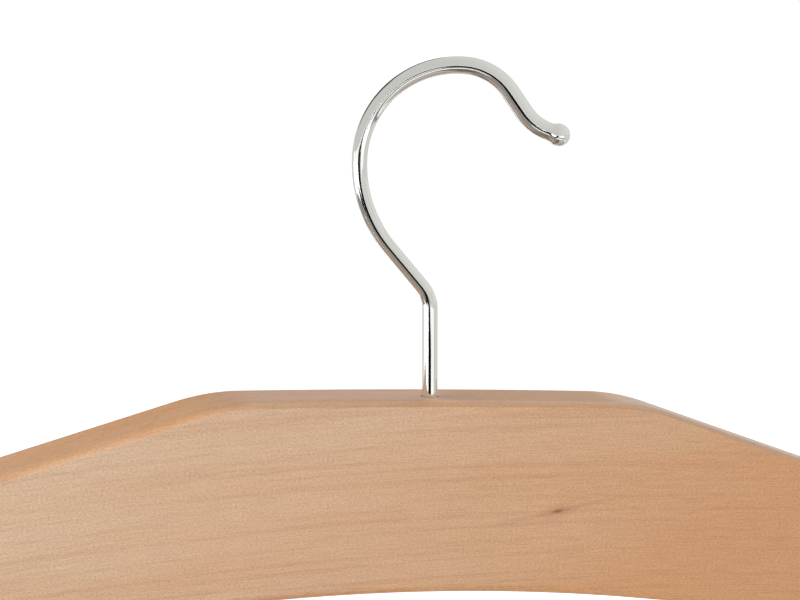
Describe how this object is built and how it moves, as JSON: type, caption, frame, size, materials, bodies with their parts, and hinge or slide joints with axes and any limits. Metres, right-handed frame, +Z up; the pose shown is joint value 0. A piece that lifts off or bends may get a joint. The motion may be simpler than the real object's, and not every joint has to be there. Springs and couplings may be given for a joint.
{
  "type": "tiered trouser hanger",
  "caption": "Wooden-headed trouser hanger with a swivelling chrome wire hook and a bent steel frame whose stacked, sleeved bars swing out to the front.",
  "frame": {"origin": "on the hook's swivel axis, level with the underside of the hook's crest, where the closet rail bears", "axes": "+Z up along the swivel axis, +X along the bars towards their free ends, -Y to the front, where the bars swing out"},
  "size_m": [0.36, 0.0256, 0.4495],
  "materials": {
    "lacquered_wood": "satin lacquer",
    "chrome_plate": "polished",
    "zinc_steel": "bright zinc",
    "white_nylon": "moulded",
    "clear_vinyl": "ribbed, see-through"
  },
  "bodies": {
    "hook_body": {"hook": "chrome_plate"},
    "frame_body": {"head": "lacquered_wood", "hook_bush": "zinc_steel", "hook_washer": "zinc_steel", "hook_plug": "lacquered_wood", "frame_rod": "chrome_plate", "ferrule_left": "chrome_plate", "ferrule_right": "chrome_plate", "cross_pin_left": "zinc_steel", "cross_pin_right": "zinc_steel", "thrust_washer_1": "white_nylon", "thrust_washer_2": "white_nylon", "thrust_washer_3": "white_nylon", "thrust_washer_4": "white_nylon", "collar_1": "chrome_plate", "collar_2": "chrome_plate", "collar_3": "chrome_plate", "collar_4": "chrome_plate", "collar_screw_1": "zinc_steel", "collar_screw_2": "zinc_steel", "collar_screw_3": "zinc_steel", "collar_screw_4": "zinc_steel", "bar_rest_1": "chrome_plate", "bar_rest_2": "chrome_plate", "bar_rest_3": "chrome_plate", "bar_rest_4": "chrome_plate", "rest_screw_1": "zinc_steel", "rest_screw_2": "zinc_steel", "rest_screw_3": "zinc_steel", "rest_screw_4": "zinc_steel"},
    "arm_1": {"pivot_eye_1": "chrome_plate", "bar_1": "lacquered_wood", "grip_sleeve_1": "clear_vinyl", "tip_cap_1": "chrome_plate"},
    "arm_2": {"pivot_eye_2": "chrome_plate", "bar_2": "lacquered_wood", "grip_sleeve_2": "clear_vinyl", "tip_cap_2": "chrome_plate"},
    "arm_3": {"pivot_eye_3": "chrome_plate", "bar_3": "lacquered_wood", "grip_sleeve_3": "clear_vinyl", "tip_cap_3": "chrome_plate"},
    "arm_4": {"pivot_eye_4": "chrome_plate", "bar_4": "lacquered_wood", "grip_sleeve_4": "clear_vinyl", "tip_cap_4": "chrome_plate"}
  },
  "joints": [
    {"name": "hook_swivel", "type": "hinge", "parent": "hook_body", "child": "frame_body", "pos_m": [0, 0, -0.112], "axis": [0, 0, 1], "continuous": true},
    {"name": "bar_1_swing", "type": "hinge", "parent": "frame_body", "child": "arm_1", "pos_m": [-0.165, 0, -0.20017], "axis": [0, 0, -1], "range_deg": [0, 115]},
    {"name": "bar_2_swing", "type": "hinge", "parent": "frame_body", "child": "arm_2", "pos_m": [-0.165, 0, -0.26277], "axis": [0, 0, -1], "range_deg": [0, 115]},
    {"name": "bar_3_swing", "type": "hinge", "parent": "frame_body", "child": "arm_3", "pos_m": [-0.165, 0, -0.32537], "axis": [0, 0, -1], "range_deg": [0, 115]},
    {"name": "bar_4_swing", "type": "hinge", "parent": "frame_body", "child": "arm_4", "pos_m": [-0.165, 0, -0.38797], "axis": [0, 0, -1], "range_deg": [0, 115]}
  ]
}
